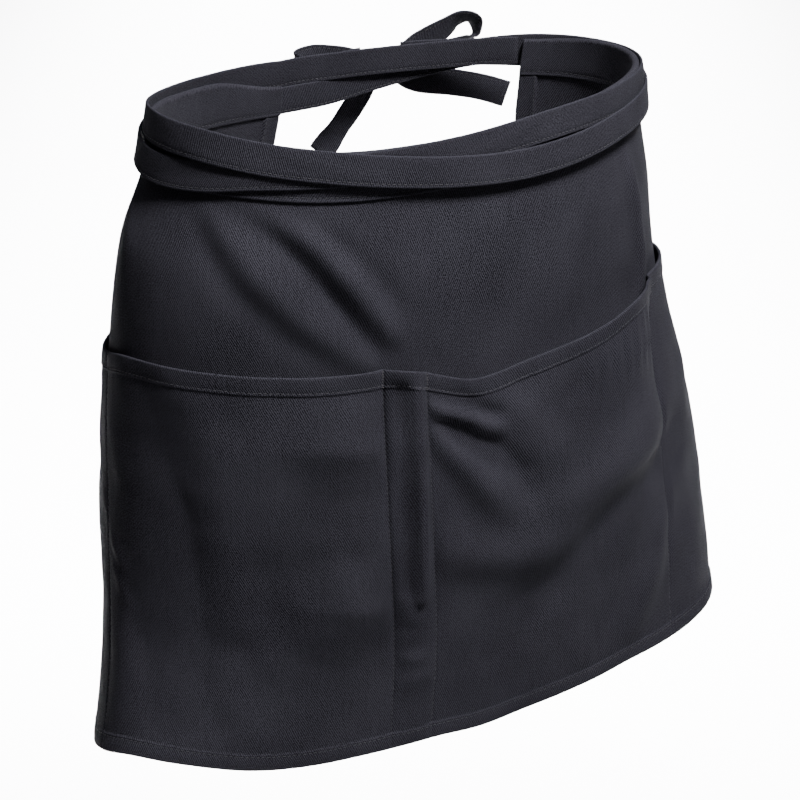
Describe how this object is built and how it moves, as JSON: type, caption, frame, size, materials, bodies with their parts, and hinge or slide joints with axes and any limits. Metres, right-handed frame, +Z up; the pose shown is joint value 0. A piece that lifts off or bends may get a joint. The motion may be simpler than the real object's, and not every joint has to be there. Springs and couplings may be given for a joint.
{
  "type": "waist apron",
  "caption": "Short dark waist apron in its worn form, with patch pockets, a folded waistband and two straps that wrap round and tie in a bow behind.",
  "frame": {"origin": "middle of the waist ring, at the height of the waistband's top fold, where the wearer's waist holds it", "axes": "+Z up, -Y the way the wearer faces, +X to the wearer's left, the longest side"},
  "size_m": [0.4232, 0.2502, 0.3424],
  "materials": {
    "twill": "matt black cotton-blend twill",
    "band": "matt black twill, folded double",
    "strap": "black twill strap, stitched along its edges"
  },
  "bodies": {
    "root": {"skirt_panel": "twill", "pocket_panel": "twill", "waistband": "band", "right_tie": "strap", "left_tie": "strap", "bow_knot": "strap", "bow_loop_left": "strap", "bow_loop_right": "strap", "bow_tail_left": "strap", "bow_tail_right": "strap"}
  },
  "joints": []
}
